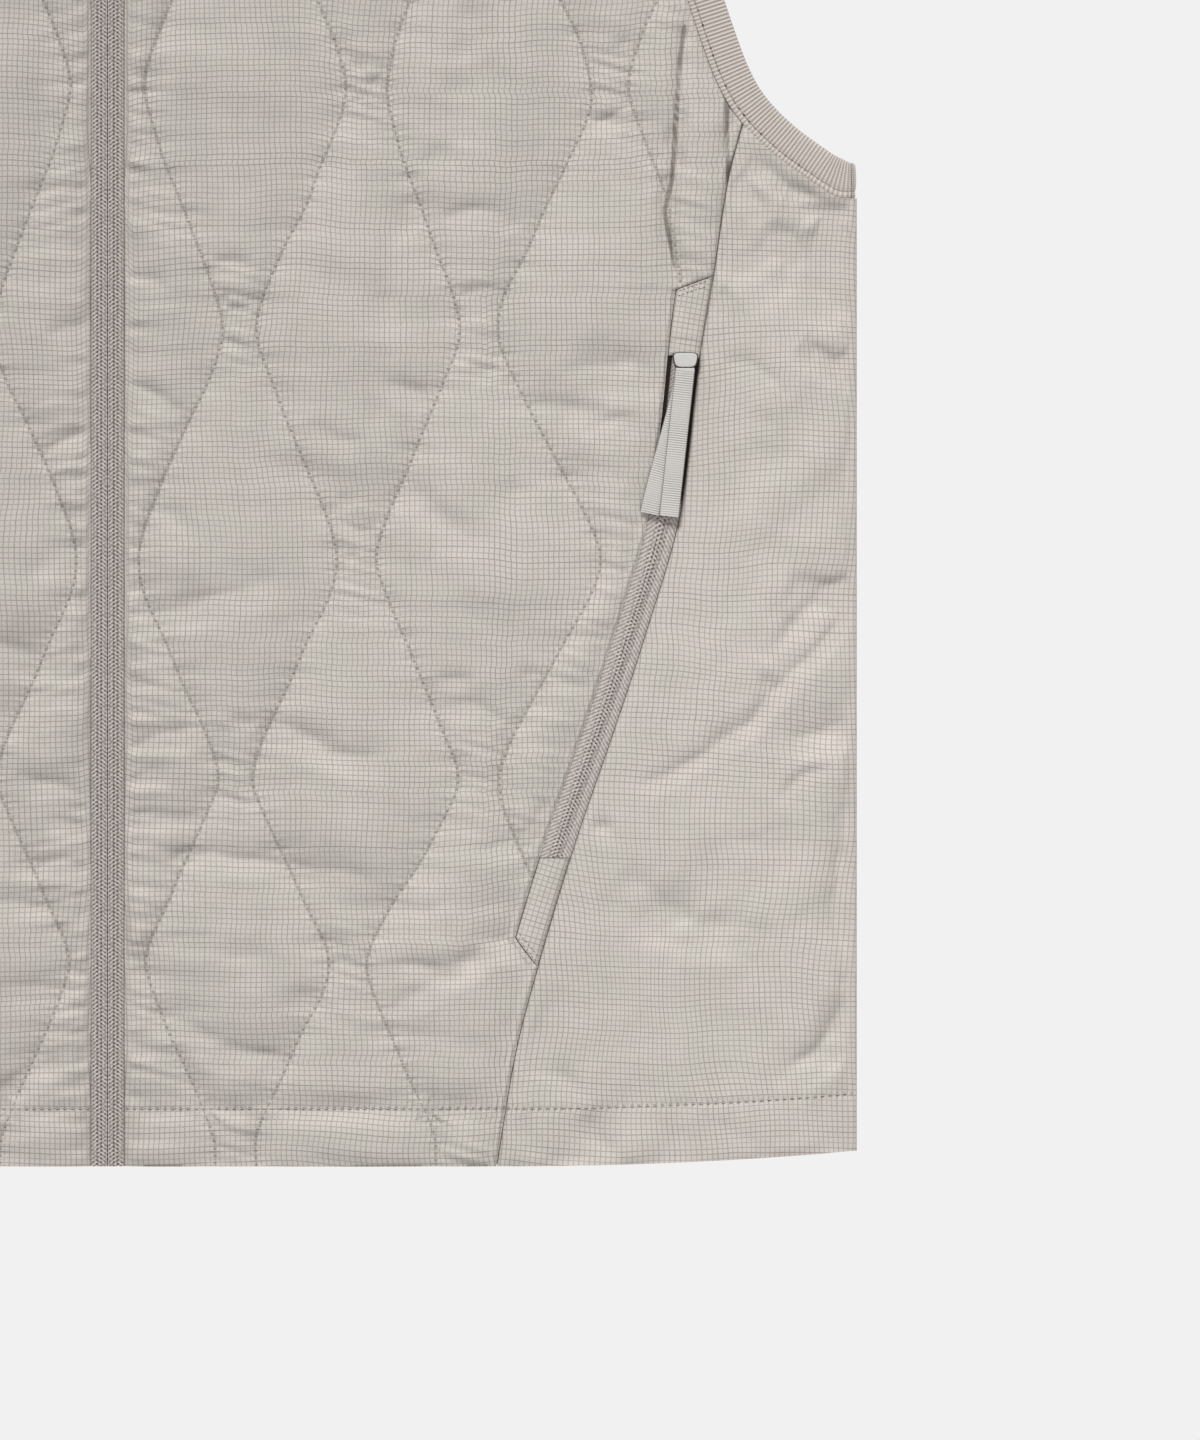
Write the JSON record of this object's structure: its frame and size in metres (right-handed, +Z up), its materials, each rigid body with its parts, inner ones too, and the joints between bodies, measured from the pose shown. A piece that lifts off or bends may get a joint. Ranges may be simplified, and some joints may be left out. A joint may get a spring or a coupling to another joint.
{
  "type": "quilted vest",
  "caption": "Sleeveless zipped vest in wave-quilted padded ripstop with plain side panels, rib-bound armholes and neck and zipped side pockets, laid flat.",
  "frame": {"origin": "below the middle of the vest's box, on the surface that it lies on", "axes": "+X to the wearer's left, +Y from the hem to the neck, +Z up from the surface, front side up"},
  "size_m": [0.584, 0.6918, 0.0079],
  "materials": {
    "body_cloth": "fine ripstop with a faint warm sheen, padded where quilted",
    "rib_knit": "matt fine rib knit with its ribs across the band",
    "zip_tape": "matt knitted zip tape over a nylon coil",
    "ribbon": "matt grosgrain ribbon with fine ribs across it",
    "slider_plastic": "moulded, softly satin"
  },
  "bodies": {
    "root": {"back_panel": "body_cloth", "front_panel_left": "body_cloth", "front_panel_right": "body_cloth", "side_panel_left": "body_cloth", "side_panel_right": "body_cloth", "armhole_binding_left": "rib_knit", "armhole_binding_right": "rib_knit", "neck_binding": "rib_knit", "front_zip_tape_left": "zip_tape", "front_zip_tape_right": "zip_tape", "front_zip_slider": "slider_plastic", "front_zip_pull": "ribbon", "pocket_zip_left": "zip_tape", "pocket_zip_right": "zip_tape", "pocket_slider_left": "slider_plastic", "pocket_slider_right": "slider_plastic", "pocket_pull_left": "ribbon", "pocket_pull_right": "ribbon", "pocket_upper_tab_left": "body_cloth", "pocket_upper_tab_right": "body_cloth", "pocket_lower_tab_left": "body_cloth", "pocket_lower_tab_right": "body_cloth"}
  },
  "joints": []
}
